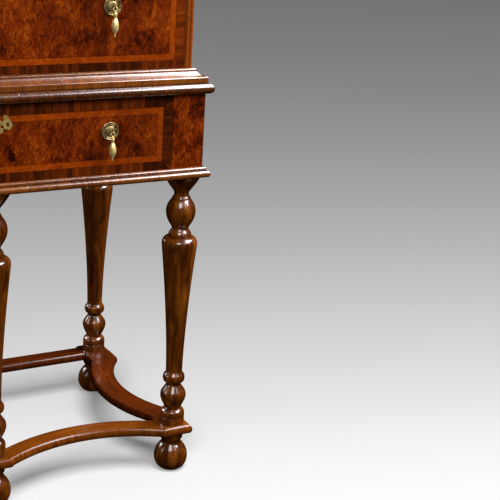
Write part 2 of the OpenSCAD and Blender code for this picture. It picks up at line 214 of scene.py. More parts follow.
def straight_figure(t, across, depth, along, seed, cells=1.0):
    """Straight-grained wood: bands across the grain, broken into fibres along it."""
    a = t.math("MULTIPLY", across, cells)
    c = t.math("MULTIPLY", along, cells)
    waver = t.noise(t.vector(t.math("MULTIPLY", a, 12), depth, t.math("MULTIPLY", c, 7)), 1, 2)
    aw = t.math("MULTIPLY_ADD", t.math("SUBTRACT", waver, 0.5), 0.02, a)
    bands = t.noise(t.vector(t.math("MULTIPLY", aw, 90), t.math("MULTIPLY_ADD", depth, 60, seed),
                             t.math("MULTIPLY", c, 9)), 1, 3, 0.55, 0.4)
    fibres = t.noise(t.vector(t.math("MULTIPLY", aw, 520), t.math("MULTIPLY_ADD", depth, 400, seed),
                              t.math("MULTIPLY", c, 28)), 1, 3, 0.6)
    return t.math("MULTIPLY_ADD", bands, 0.8, t.math("MULTIPLY_ADD", fibres, 0.6, -0.2)), fibres


def polish(t, colour, height, rough=0.28, coat=0.5, strength=0.12, gloss=0.35, lustre=1.5,
           sheen=0.12):
    """Waxed varnish over the colour, a little duller where the pores open it. strength is the
    grain's relief, gloss the wood's own shine, lustre and sheen the coat's index and roughness."""
    t.set(Base_Color=colour, Specular_IOR_Level=gloss, Coat_Weight=coat, Coat_Roughness=sheen,
          Coat_IOR=lustre,
          Roughness=t.math("MULTIPLY_ADD", height, 0.22, rough - 0.11),
          Normal=t.bump(height, strength, 0.0004))
    return t.mat


def veneer(name, axes, box, edge, feather, seed, shift=(0, 0, 0, 0), face=None, rough=0.28,
           coat=0.5, laid=0.0):
    """Burr field in a herringbone band and a cross-grained border, laid out in a box of the
    part's own coordinates. shift is added to the four edges of the box. face is the axis and
    sign of the face that carries the veneer, and the other faces show the board. laid moves
    the joints of the border's strips along it."""
    t = Tree(name)
    place = t.place()
    u, v = place[axes[0]], place[axes[1]]
    u0, v0, u1, v1 = (box[i] + s for i, s in enumerate(shift))
    du = t.math("MINIMUM", t.math("SUBTRACT", u, u0), t.math("SUBTRACT", u1, u))
    dv = t.math("MINIMUM", t.math("SUBTRACT", v, v0), t.math("SUBTRACT", v1, v))
    near = t.math("MINIMUM", du, dv)
    side = t.math("LESS_THAN", du, dv)
    run = t.blend(side, u, v)
    field, pores = burr_figure(t, u, v, seed)
    band, fibres = straight_figure(t, run, 0.0, near, seed + 3.1, 1.0)
    half = t.math("LESS_THAN", near, edge + feather / 2)
    slant = t.math("MULTIPLY", t.math("MULTIPLY_ADD", half, -2.0, 1.0), near)
    diagonal = t.math("ADD", run, slant)
    herring, _ = straight_figure(t, diagonal, 0.0, t.math("SUBTRACT", run, slant), seed + 7.7, 1.6)
    strip = t.math("MULTIPLY_ADD", side, UPRIGHT_SHIFT, t.math("ADD", run, laid) if laid else run)
    piece = t.noise(t.vector(t.math("SNAP", strip, STRIP), side, seed), 31, 0)
    band = t.math("MULTIPLY_ADD", t.math("SUBTRACT", piece, 0.5), 1.3, band)
    saw = t.math("FRACT", t.math("DIVIDE", strip, STRIP))
    sound = t.math("LESS_THAN", t.math("ABSOLUTE", t.math("SUBTRACT", saw, 0.5)), STRIP_JOINT)
    burr = t.ramp(field, BURR)
    banded = t.mix(0.30, t.ramp(herring, FEATHER), burr)
    colour = t.mix(t.math("LESS_THAN", near, edge + feather), burr, banded)
    cross = t.mix(sound, srgb(20, 8, 3), t.ramp(band, CROSS))
    colour = t.mix(t.math("LESS_THAN", near, edge), colour, cross)
    line = t.math("MINIMUM", t.math("ABSOLUTE", t.math("SUBTRACT", near, edge)),
                  t.math("ABSOLUTE", t.math("SUBTRACT", near, edge + feather)))
    colour = t.mix(t.math("LESS_THAN", line, GLUE_LINE), colour, srgb(62, 22, 3))
    age = t.noise(t.vector(u, v, seed + 9), 7, 2)
    colour = t.mix(t.levels(age, 0.35, 0.75, 0.0, 0.35), colour, srgb(70, 24, 4))
    if face:
        axis, sign = face
        normal = t.split(t.add("TexCoord", out=1))[axis]
        shown = t.math("GREATER_THAN", t.math("MULTIPLY", normal, sign), 0.4)
        wood, _ = straight_figure(t, place[2], place[1], place[0], seed, 0.6)
        colour = t.mix(shown, t.ramp(wood, OAK), colour)
    return polish(t, colour, pores, rough, coat, gloss=0.18)


def plain_burr(name, axes, seed):
    """Burr walnut with no border."""
    t = Tree(name)
    place = t.place()
    field, pores = burr_figure(t, place[axes[0]], place[axes[1]], seed)
    return polish(t, t.ramp(field, BURR), pores, gloss=0.18)


def plain_wood(name, axis, colours, seed, rough, coat):
    """Straight grain along one axis of the part's own coordinates."""
    t = Tree(name)
    place = t.place()
    others = [i for i in (0, 1, 2) if i != axis]
    grain, fibres = straight_figure(t, place[others[0]], place[others[1]], place[axis], seed)
    return polish(t, t.ramp(grain, colours), fibres, rough, coat)


def dovetailed(name, box, seed):
    """Oak drawer lining: grain along the sides, with dovetails that join them to the front."""
    t = Tree(name)
    x, y, z = t.place()
    lo, hi = box
    grain, fibres = straight_figure(t, x, z, y, seed)
    ends, _ = straight_figure(t, z, 0.0, x, seed + 5, 2.0)
    reach = t.math("SUBTRACT", y, lo.y)
    height = hi.z - lo.z
    pitch = height / max(2, round(height / DOVETAIL_PITCH))
    phase = t.math("FRACT", t.math("DIVIDE", t.math("SUBTRACT", z, lo.z), pitch))
    off = t.math("MULTIPLY", t.math("ABSOLUTE", t.math("SUBTRACT", phase, 0.5)), pitch)
    tail = t.math("MULTIPLY_ADD", reach, DOVETAIL_SLOPE, DOVETAIL_SHARE * pitch)
    outer = t.math("GREATER_THAN", t.math("ABSOLUTE", t.math("SUBTRACT", x, (lo.x + hi.x) / 2)),
                   (hi.x - lo.x) / 2 - 0.0006)
    in_joint = t.math("MULTIPLY", outer, t.math("LESS_THAN", reach, DOVETAIL))
    pin = t.math("MULTIPLY", in_joint, t.math("GREATER_THAN", off, tail))
    slit = t.math("LESS_THAN", t.math("ABSOLUTE", t.math("SUBTRACT", off, tail)), GLUE_LINE)
    shoulder = t.math("LESS_THAN", t.math("ABSOLUTE", t.math("SUBTRACT", reach, DOVETAIL)), 0.0004)
    line = t.math("MULTIPLY", outer,
                  t.math("MAXIMUM", t.math("MULTIPLY", in_joint, slit), shoulder))
    colour = t.mix(pin, t.ramp(grain, OAK), t.ramp(ends, RUSSET))
    return polish(t, t.mix(line, colour, srgb(44, 26, 12)), fibres, 0.5, 0.05)


def grained(name, colours, seed, rough=0.3, coat=0.4, cells=1.0, strength=0.12, gloss=0.35,
            lustre=1.5, sheen=0.12):
    """Wood for pieces whose attributes give their grain, the tone of each length, the painted
    shade in their grooves and the dirt in their joints."""
    t = Tree(name)
    across, depth, along = t.split(t.add("Attribute", out=1, attribute_name="grain"))
    tone = t.add("Attribute", out=2, attribute_name="tone")
    grain, fibres = straight_figure(t, across, depth, along, seed, cells)
    grain = t.math("MULTIPLY_ADD", t.math("SUBTRACT", tone, 0.5), 0.22, grain)
    groove_shade_and_joint_dirt = t.add("Attribute", out=2, attribute_name="groove_shade_and_joint_dirt")
    # Painted shade in the grooves and dirt in the joints: the wood goes darker where this mark is
    # high.
    colour = t.mix(t.levels(groove_shade_and_joint_dirt, 0.25, 0.95, 0.0, 0.85), t.ramp(grain, colours), srgb(22, 9, 3))
    return polish(t, colour, fibres, rough, coat, strength, gloss, lustre, sheen)


def turned_wood(name):
    """Polished turned walnut: dark with amber figure that climbs the turning."""
    t = Tree(name)
    x, y, z = t.place()
    clouds = t.noise(t.vector(t.math("MULTIPLY", x, 42), t.math("MULTIPLY", y, 42),
                              t.math("MULTIPLY", z, 11)), 1, 4, 0.6, 1.2)
    streaks = t.noise(t.vector(t.math("MULTIPLY", x, 260), t.math("MULTIPLY", y, 260),
                               t.math("MULTIPLY", z, 20)), 1, 3, 0.6, 0.5)
    value = t.math("MULTIPLY_ADD", clouds, 0.75, t.math("MULTIPLY", streaks, 0.25))
    value = t.math("MULTIPLY_ADD", t.math("SUBTRACT", value, 0.5), 1.5, 0.53)
    return polish(t, t.ramp(value, TURNED), streaks, rough=0.30, coat=1.0, strength=0.012,
                  gloss=0.2, lustre=1.6)


# Shades of brass, from the hollows to what is rubbed most
OLD_BRASS = [srgb(40, 24, 8), srgb(112, 88, 48), srgb(158, 134, 84), srgb(196, 174, 122)]
WORN_BRASS = [srgb(104, 74, 26), srgb(222, 192, 106), srgb(244, 220, 140), srgb(252, 240, 190)]
ESCUTCHEON_PALE = [srgb(190, 150, 66), srgb(226, 190, 100), srgb(246, 222, 146)]
ESCUTCHEON_HALF = 0.035


def brass(name, shades, rough=0.30, escutcheon=None):
    """Old cast brass: pale where it is handled, brown in the hollows. escutcheon is the X of a
    drawer's middle, where the flat plate is given paler shades."""
    t = Tree(name, Metallic=0.8, Specular_IOR_Level=0.5)
    p = t.add("TexCoord", out=3)
    patina = t.levels(t.noise(p, 170, 3, 0.6, 0.5), 0.3, 0.7)
    spots = t.noise(p, 700, 2, 0.5)
    open_air = t.add("AmbientOcclusion", named={"Distance": 0.004}, out=1, samples=8)
    places = (0.0, 0.45, 1.0)
    colour = t.ramp(patina, list(zip(places, shades[1:])))
    if escutcheon is not None:
        off = t.math("ABSOLUTE", t.math("SUBTRACT", t.place()[0], escutcheon))
        # The escutcheon's flat plate gets paler shades of brass.
        colour = t.mix(t.math("LESS_THAN", off, ESCUTCHEON_HALF), colour,
                       t.ramp(patina, list(zip(places, ESCUTCHEON_PALE))))
    t.set(Base_Color=t.mix(t.levels(open_air, 0.45, 0.95), shades[0], colour),
          Roughness=t.math("MULTIPLY_ADD", spots, 0.25, rough),
          Normal=t.bump(spots, 0.1, 0.0003))
    return t.mat


# ---------- shape helpers ----------

WELD = 2e-6
WORN_FROM = math.radians(50)


def wear(o, bevel):
    """Rounds an object's sharp edges over bevel millimetres."""
    worn = o.modifiers.new("worn edges", "BEVEL")
    worn.width = bevel * MM
    worn.segments = 2
    worn.angle_limit = WORN_FROM


def soften(nodes, smooth_deg=32, bevel=None):
    """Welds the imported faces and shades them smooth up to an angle, with worn edges."""
    group = bpy.data.node_groups.get(f"soften_{smooth_deg}")
    if group is None:
        group = bpy.data.node_groups.new(f"soften_{smooth_deg}", "GeometryNodeTree")
        group.interface.new_socket("Geometry", in_out="INPUT", socket_type="NodeSocketGeometry")
        group.interface.new_socket("Geometry", in_out="OUTPUT", socket_type="NodeSocketGeometry")
        make = group.nodes.new
        link = group.links.new
        start, end = make("NodeGroupInput"), make("NodeGroupOutput")
        weld = make("GeometryNodeMergeByDistance")
        weld.inputs["Distance"].default_value = WELD
        drop = make("GeometryNodeRemoveAttribute")
        drop.inputs["Name"].default_value = "custom_normal"
        faces, edges = make("GeometryNodeSetShadeSmooth"), make("GeometryNodeSetShadeSmooth")
        edges.domain = "EDGE"
        angle = make("GeometryNodeInputMeshEdgeAngle")
        small = make("FunctionNodeCompare")
        small.operation = "LESS_THAN"
        small.inputs[1].default_value = math.radians(smooth_deg)
        link(start.outputs[0], weld.inputs[0])
        link(weld.outputs[0], drop.inputs[0])
        link(drop.outputs[0], faces.inputs[0])
        link(faces.outputs[0], edges.inputs[0])
        link(angle.outputs[0], small.inputs[0])
        link(small.outputs[0], edges.inputs["Shade Smooth"])
        link(edges.outputs[0], end.inputs[0])
    for name in nodes:
        modifier = NODES[name].modifiers.new("soften", "NODES")
        modifier.node_group = group
        if bevel:
            wear(NODES[name], bevel)


def finish_node(names, material, bevel=None, smooth_deg=32):
    """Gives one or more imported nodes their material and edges."""
    names = [names] if isinstance(names, str) else list(names)
    for name in names:
        NODES[name].data.materials.clear()
        NODES[name].data.materials.append(material)
    soften(names, smooth_deg, bevel)


# ---------- pieces built in mesh code ----------

def arc(cx, cy, rx, ry, a0, a1, n=8):
    """Points of an elliptical arc, in degrees."""
    steps = [math.radians(a0 + (a1 - a0) * i / n) for i in range(n + 1)]
    return [(cx + rx * math.cos(a), cy + ry * math.sin(a)) for a in steps]


class Shape:
    """A mesh in leg-frame millimetres. Each vertex has its place in the wood, as the distances
    across, through and along the grain, and each length of wood has its tone."""

    def __init__(self):
        self.points, self.faces, self.grain, self.tone, self.groove_shade_and_joint_dirt = [], [], [], [], []

    def vertex(self, point, grain, tone, groove_shade_and_joint_dirt=0.0):
        self.points.append((point[0] * MM, point[1] * MM - Y_MID, point[2] * MM))
        self.grain.append(tuple(g * MM for g in grain))
        self.tone.append(tone)
        self.groove_shade_and_joint_dirt.append(groove_shade_and_joint_dirt)
        return len(self.points) - 1

    def strip(self, rings, tone=0.5, closed=True, caps=(True, True)):
        """Joins rings of (point, grain) pairs into a tube, or into a sheet if not closed."""
        made = [[self.vertex(v[0], v[1], tone, *v[2:]) for v in ring] for ring in rings]
        n = len(made[0])
        for low, high in zip(made, made[1:]):
            for i in range(n if closed else n - 1):
                j = (i + 1) % n
                self.faces.append((low[i], low[j], high[j], high[i]))
        if caps[0]:
            self.faces.append(tuple(reversed(made[0])))
        if caps[1]:
            self.faces.append(tuple(made[-1]))

    def piece(self, name, material, nodes, slot, smooth_deg=30, bevel=None):
        """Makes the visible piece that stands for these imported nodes."""
        mesh = bpy.data.meshes.new(name)
        mesh.from_pydata(self.points, [], self.faces)
        grain = mesh.attributes.new("grain", "FLOAT_VECTOR", "POINT")
        grain.data.foreach_set("vector", [c for g in self.grain for c in g])
        mesh.attributes.new("tone", "FLOAT", "POINT").data.foreach_set("value", self.tone)
        # The third attribute marks the grooves of a profile for painted shade and its joints for
        # dirt.
        mesh.attributes.new("groove_shade_and_joint_dirt", "FLOAT", "POINT").data.foreach_set("value", self.groove_shade_and_joint_dirt)
        build = bmesh.new()
        build.from_mesh(mesh)
        bmesh.ops.recalc_face_normals(build, faces=build.faces)
        build.to_mesh(mesh)
        build.free()
        mesh.shade_smooth()
        mesh.set_sharp_from_angle(angle=math.radians(smooth_deg))
        mesh.materials.append(material)
        o = bpy.data.objects.new(name, mesh)
        scene.collection.objects.link(o)
        if bevel:
            wear(o, bevel)
        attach(o, BODY_OF[nodes[0]])
        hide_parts(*nodes)
        PIECES.append(o)


PIECES = []

# The shrunk joint between two lengths of moulding: half its width, its depth, and the flat
# beside it that keeps the smooth shading of the moulding away from it
JOINT_HALF, JOINT_DEEP, JOINT_LAND = 0.4, 0.35, 0.8
GROOVE_TURN = -0.35
NEXT_ACROSS, NEXT_DEEP = 53, 31


def outline_lengths(outline):
    """How far along the outline each of its points lies."""
    lengths, total = [0.0], 0.0
    for a, b in zip(outline, outline[1:]):
        total += math.dist(a, b)
        lengths.append(total)
    return lengths


def grooves(outline):
    """1 at each inward corner of an outline that runs anticlockwise, where the wood gets painted
    shade.
    """
    n = len(outline)
    marks = []
    for i, (x, y) in enumerate(outline):
        (px, py), (nx, ny) = outline[i - 1], outline[(i + 1) % n]
        turn = math.atan2((x - px) * (ny - y) - (y - py) * (nx - x),
                          (x - px) * (nx - x) + (y - py) * (ny - y))
        marks.append(1.0 if turn < GROOVE_TURN else 0.0)
    return marks


def moulding_run(shape, outline, spot, start, end, joints, seed, shade=0.0):
    """One straight run. spot(t, out, up) gives a point; start and end take out and give t. Each
    length between two joints has a tone and a place in the wood of its own, and shade is added to
    every tone. Grooves in the outline are marked for painted shade and joints for dirt."""
    lengths = outline_lengths(outline)
    back = min(out for out, up in outline)
    groove_shade = grooves(outline)
    cuts = [None] + sorted(joints) + [None]
    for k, (left, right) in enumerate(zip(cuts, cuts[1:])):
        tone = shade + random.Random(f"{seed} {k}").uniform(0.0, 1.0)
        stops = []
        beside = ((0.0, JOINT_DEEP), (JOINT_HALF, 0.0), (JOINT_HALF + JOINT_LAND, 0.0))
        if left is None:
            stops.append((start, 0.0))
        else:
            stops += [(lambda out, t=left + d: t, inset) for d, inset in beside]
        if right is None:
            stops.append((end, 0.0))
        else:
            stops += [(lambda out, t=right - d: t, inset) for d, inset in reversed(beside)]
        rings = []
        for place, inset in stops:
            ring = []
            for (out, up), v, mark in zip(outline, lengths, groove_shade):
                t = place(out)
                # A groove is marked for painted shade, and the bottom of a joint for dirt.
                ring.append((spot(t, max(back, out - inset), up),
                             (t + NEXT_ACROSS * k, out + NEXT_DEEP * k, v),
                             max(mark, 1.0 if inset else 0.0)))
            rings.append(ring)
        shape.strip(rings, tone, caps=(left is None, right is None))


def mitred(shape, outline, hx, fy, by, joints, seed, shade=0.0):
    """A moulding on the front and both sides of a case, mitred at the front corners."""
    front, side = joints
    moulding_run(shape, outline, lambda t, out, up: (t, fy - out, up),
                 lambda out: -hx - out, lambda out: hx + out, front, seed, shade)
    for s in (-1, 1):
        moulding_run(shape, outline, lambda t, out, up, s=s: (s * (hx + out), t, up),
                     lambda out: fy - out, lambda out: by, side, seed + 10 * (s + 2), shade)


def mm(value):
    return value / MM


# Heights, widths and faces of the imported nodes, in leg-frame millimetres
BASE_Z = mm(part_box("stand_base")[0].z)
CASE_X = mm(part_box("stand_stiles")[1].x)
CASE_FRONT = mm(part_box("stand_stiles")[0].y + Y_MID)
CASE_BACK = mm(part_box("stand_side_right")[1].y + Y_MID)
CASE_Z = mm(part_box("stand_stiles")[0].z)
CASE_TOP = mm(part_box("stand_stiles")[1].z)
ROWS_Z = mm(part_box("chest_bottom")[1].z)
CHEST_X = mm(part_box("chest_side_right")[1].x)
CHEST_FRONT = mm(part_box("chest_side_right")[0].y + Y_MID)
CORNICE_Z = mm(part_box("cornice")[0].z)
TOP_Z = mm(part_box("cornice")[1].z)
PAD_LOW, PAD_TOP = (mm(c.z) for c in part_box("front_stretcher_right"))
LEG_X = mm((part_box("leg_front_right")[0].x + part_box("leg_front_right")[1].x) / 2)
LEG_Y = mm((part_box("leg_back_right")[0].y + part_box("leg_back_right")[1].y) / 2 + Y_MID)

cross_walnut = grained("cross_walnut", MOULDED, 1.0, rough=0.28, coat=1.0, strength=0.010,
                       gloss=0.6, lustre=1.85, sheen=0.22)
bead_walnut = grained("bead_walnut", BEADED, 1.0, rough=0.28, coat=0.8, strength=0.010,
                      gloss=0.4, lustre=1.6, sheen=0.22)
# The torus is given a darker tone as painted shade and the cove a lighter one as painted light.
BASE_TONE, TORUS_PAINTED_SHADE, COVE_PAINTED_LIGHT, BEAD_TONE = 0.5, -1.3, 0.7, 1.2

# Profiles of the mouldings are (out, up) points in millimetres, and the numbers in the tuples
# that follow them are the places of the joints: along X at the front, and along Y at the sides

# Stand base: two reeds on a flat frame of boards
BASE_W = 56
shape = Shape()
reeds = ([(-BASE_W, BASE_Z)] + arc(6, BASE_Z + 5.2, 4.5, 5.2, -90, 80, 16) + [(3.4, BASE_Z + 10.8)]
         + arc(1.8, BASE_Z + 13.6, 3.4, 2.7, -60, 60, 10) + [(0.4, CASE_Z), (-BASE_W, CASE_Z)])
mitred(shape, reeds, CASE_X, CASE_FRONT, CASE_BACK, ((-236, -104, 46, 184, 259), (96, 231)), 1,
       BASE_TONE)
board = [(0, BASE_Z), (BASE_W, BASE_Z), (BASE_W, CASE_Z), (0, CASE_Z)]
moulding_run(shape, board, lambda t, out, up: (t, CASE_BACK - out, up),
             lambda out: BASE_W - CASE_X, lambda out: CASE_X - BASE_W, [], 2)
shape.piece("base_moulding", cross_walnut, ["stand_base"], "walnut_crossgrain")

# Waist: a torus below, and a fillet, cove and bead above
SEAT = -17.7
shape = Shape()
torus = ([(SEAT, CASE_TOP), (0.5, CASE_TOP)] + arc(2.7, CASE_TOP + 8.3, 7.8, 7.8, -75, 85, 20)
         + [(1.4, CASE_TOP + 16.6), (SEAT, CASE_TOP + 16.6)])
mitred(shape, torus, CASE_X, CASE_FRONT, CASE_BACK, ((-262, -118, 33, 225), (88, 240)), 3,
       TORUS_PAINTED_SHADE)
cove = ([(SEAT, CASE_TOP + 16.6), (1.4, CASE_TOP + 16.6), (1.4, CASE_TOP + 17.6),
         (2.6, CASE_TOP + 18), (2.6, CASE_TOP + 25.4)]
        + arc(0.5, CASE_TOP + 40, 13.5, 13.5, -85, -150, 14)
        + arc(-14.2, ROWS_Z - 3, 2.8, 2.8, -40, 80, 10) + [(-14, ROWS_Z), (SEAT, ROWS_Z)])
mitred(shape, cove, CASE_X, CASE_FRONT, CASE_BACK, ((-180, -46, 104, 247), (140, 290)), 4,
       COVE_PAINTED_LIGHT)
shape.piece("waist_mouldings", cross_walnut, ["waist_moulding"], "walnut_crossgrain")

# Cornice: bead, cove, ovolo and fillet
shape = Shape()
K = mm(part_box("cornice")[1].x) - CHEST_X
crown = ([(0, CORNICE_Z)] + arc(2.6, CORNICE_Z + 2.8, 2.8, 2.8, -90, 90, 12) + [(2, CORNICE_Z + 8)]
         + arc(K * 0.62, CORNICE_Z + 8, K * 0.62 - 2, 17, 180, 90, 16)
         + [(K * 0.66, CORNICE_Z + 25), (K * 0.66, CORNICE_Z + 28)]
         + arc(K * 0.66, CORNICE_Z + 39, K * 0.27, 11, -90, 0, 14)
         + [(K, CORNICE_Z + 39), (K, TOP_Z), (0, TOP_Z)])
mitred(shape, crown, CHEST_X, CHEST_FRONT, CASE_BACK, ((-210, -70, 60, 205), (120, 260)), 5)
shape.piece("cornice_mouldings", cross_walnut, ["cornice"], "walnut_crossgrain")

# Double beads round the drawers
shape = Shape()
BEAD_HALF, RAIL_HALF, GAP = 5.8, 6, 0.5
BEAD_FLAT, BEAD_RISE = 0.8, 2.7
bead = ([(0, -BEAD_HALF), (BEAD_FLAT, -BEAD_HALF)]
        + [p for w in (-BEAD_HALF / 2, BEAD_HALF / 2)
           for p in arc(BEAD_FLAT, w, BEAD_RISE, BEAD_HALF / 2, -90, 90, 10)]
        + [(BEAD_FLAT, BEAD_HALF), (0, BEAD_HALF)])
LONG = ["bottom_drawer", "middle_drawer", "upper_drawer"]
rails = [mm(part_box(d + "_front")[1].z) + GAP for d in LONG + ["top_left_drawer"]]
for x in (RAIL_HALF - CHEST_X, CHEST_X - RAIL_HALF):
    moulding_run(shape, bead, lambda t, out, w, x=x: (x + w, CHEST_FRONT - out, t),
                 lambda out: ROWS_Z, lambda out: CORNICE_Z,
                 [ROWS_Z + 150 * i for i in (1, 2, 3)], 6, BEAD_TONE)
inner = CHEST_X - 2 * RAIL_HALF
for z in rails:
    moulding_run(shape, bead, lambda t, out, w, z=z: (t, CHEST_FRONT - out, z + RAIL_HALF + w),
                 lambda out: GAP - inner, lambda out: inner - GAP, [-170, -15, 140], z, BEAD_TONE)
moulding_run(shape, bead, lambda t, out, w: (w, CHEST_FRONT - out, t),
             lambda out: rails[2] + 2 * RAIL_HALF, lambda out: rails[3], [], 7)
shape.piece("bead_mouldings", bead_walnut, ["chest_beads"], "walnut_crossgrain")

# Stretchers: veneered tops with half-round cross-grained edges
ROUND, PAD = 5.5, 21
PAD_MID = (PAD_LOW + PAD_TOP) / 2
PAD_HALF = (PAD_TOP - PAD_LOW) / 2
EDGE = [(math.cos(math.radians(a)), math.sin(math.radians(a))) for a in range(90, -91, -15)]
EDGE_GIRTH = 12


def arm(shape, stations, spot, width, seed):
    """An arm of a stretcher. spot(t, c) gives the plan point at station t, c across it."""
    length = [0.0]
    for a, b in zip(stations, stations[1:]):
        length.append(length[-1] + math.dist(spot(a, width / 2), spot(b, width / 2)))
    for z, sign in ((PAD_TOP, 1), (PAD_LOW, -1)):
        rings = [[((*spot(t, c), z), (c + seed, z, run)) for c in (0, width)[::sign]]
                 for t, run in zip(stations, length)]
        shape.strip(rings, 0.6, closed=False, caps=(False, False))
    for c0, way in ((0, -1), (width, 1)):
        rings = [[((*spot(t, c0 + way * ROUND * e), PAD_MID + PAD_HALF * h),
                   (run + seed, e, EDGE_GIRTH * h)) for e, h in EDGE[::way]]
                 for t, run in zip(stations, length)]
        shape.strip(rings, 0.35, closed=False, caps=(False, False))


def pad(shape, x, y, seed):
    """The square at a leg, with half-round edges mitred at its corners."""
    for tx, ty in ((1, 0), (0, 1), (-1, 0), (0, -1)):
        rings = []
        for side in (-1, 1):
            ring = []
            for e, h in EDGE:
                r = PAD + ROUND * e
                ring.append(((x + side * r * tx + r * ty, y + side * r * ty - r * tx,
                              PAD_MID + PAD_HALF * h), (side * PAD + seed, e, EDGE_GIRTH * h)))
            rings.append(ring)
        shape.strip(rings, 0.35, closed=False, caps=(False, False))
    for z in (PAD_TOP, PAD_LOW):
        corners = [(x - PAD, y - PAD), (x + PAD, y - PAD), (x + PAD, y + PAD), (x - PAD, y + PAD)]
        shape.strip([[((*c, z), (c[0] + seed, z, c[1])) for c in corners[:2]],
                     [((*c, z), (c[0] + seed, z, c[1])) for c in (corners[3], corners[2])]],
                    0.45, closed=False, caps=(False, False))


def steps(start, end, n):
    return [start + (end - start) * i / n for i in range(n + 1)]


# Each curved arm lies between two arcs about one centre: how far it bows, its width, and the
# radius and centre that follow from them
BOW, FRONT_W = 40, 26
SPAN = LEG_X / 2 - PAD
FRONT_R = (SPAN * SPAN + BOW * BOW) / (2 * BOW)
FRONT_Y = BOW - PAD + 0.5 - FRONT_R
SIDE_BOW, SIDE_W, SIDE_HALF = 42.5, 33.5, 125
SIDE_R = (SIDE_HALF * SIDE_HALF + SIDE_BOW * SIDE_BOW) / (2 * SIDE_BOW)
SIDE_X = LEG_X + PAD - SIDE_BOW + SIDE_R
SIDE_MID = LEG_Y / 2 - 4
BACK_W = 25
LAP = 1


def front_spot(t, c, s):
    return (s * t, FRONT_Y + math.sqrt((FRONT_R + c) ** 2 - (t - LEG_X / 2) ** 2))


def side_spot(t, c, s):
    dy = min(SIDE_HALF, abs(t - SIDE_MID))
    x = SIDE_X - math.sqrt((SIDE_R + c) ** 2 - dy ** 2)
    return (s * x, t)


ARM_FINISH = {"rough": 0.30, "coat": 0.5, "cells": 1.3, "strength": 0.04, "gloss": 0.25}
golden_arm = grained("stretcher_walnut", GOLDEN, 4.0, **ARM_FINISH)
russet_arm = grained("stretcher_russet", RUSSET, 14.0, **ARM_FINISH)
for s, hand in ((-1, "left"), (1, "right")):
    shape = Shape()
    arm(shape, steps(PAD - LAP, LEG_X - PAD + LAP, 40), lambda t, c, s=s: front_spot(t, c, s),
        FRONT_W, 90 * s)
    pad(shape, s * LEG_X, 0, 17 * s)
    if s > 0:
        pad(shape, 0, 0, 55)
    shape.piece("stretcher_front_" + hand, golden_arm, ["front_stretcher_" + hand], "burr_walnut")
    shape = Shape()
    arm(shape, steps(PAD - LAP, LEG_Y - PAD + LAP, 48), lambda t, c, s=s: side_spot(t, c, s),
        SIDE_W, 140 * s)
    shape.piece("stretcher_side_" + hand, russet_arm, ["side_stretcher_" + hand], "burr_walnut")
shape = Shape()
arm(shape, steps(PAD - LAP - LEG_X, LEG_X - PAD + LAP, 8),
    lambda t, c: (t, LEG_Y + 1 - BACK_W / 2 + c), BACK_W, 230)
for s in (-1, 1):
    pad(shape, s * LEG_X, LEG_Y, 77 * s)
shape.piece("stretcher_back", russet_arm, ["back_stretcher"], "burr_walnut")

# Turned legs and bun feet: (radius, height) points, the legs' from the pads and the base board
DOWEL, SIDES = 9, 72


def flow(points, n=4):
    """A smooth line through the points, with n steps between each two."""
    line = []
    ends = [points[0]] + points + [points[-1]]
    for p0, p1, p2, p3 in zip(ends, ends[1:], ends[2:], ends[3:]):
        for i in range(n):
            t = i / n
            line.append(tuple(0.5 * (2 * b + (c - a) * t + (2 * a - 5 * b + 4 * c - d) * t * t
                                     + (3 * b - a - 3 * c + d) * t ** 3)
                              for a, b, c, d in zip(p0, p1, p2, p3)))
    return line + [points[-1]]


def turning(name, node, x, y, outline):
    shape = Shape()
    around = [2 * math.pi * i / SIDES for i in range(SIDES)]
    shape.strip([[((x + r * math.cos(a), y + r * math.sin(a), z),
                   (r * math.cos(a), r * math.sin(a), z)) for a in around] for r, z in outline])
    shape.piece(name, turned_walnut, [node], "turned_walnut", smooth_deg=38)


def above(base, points):
    return [(r, base + z) for r, z in points]


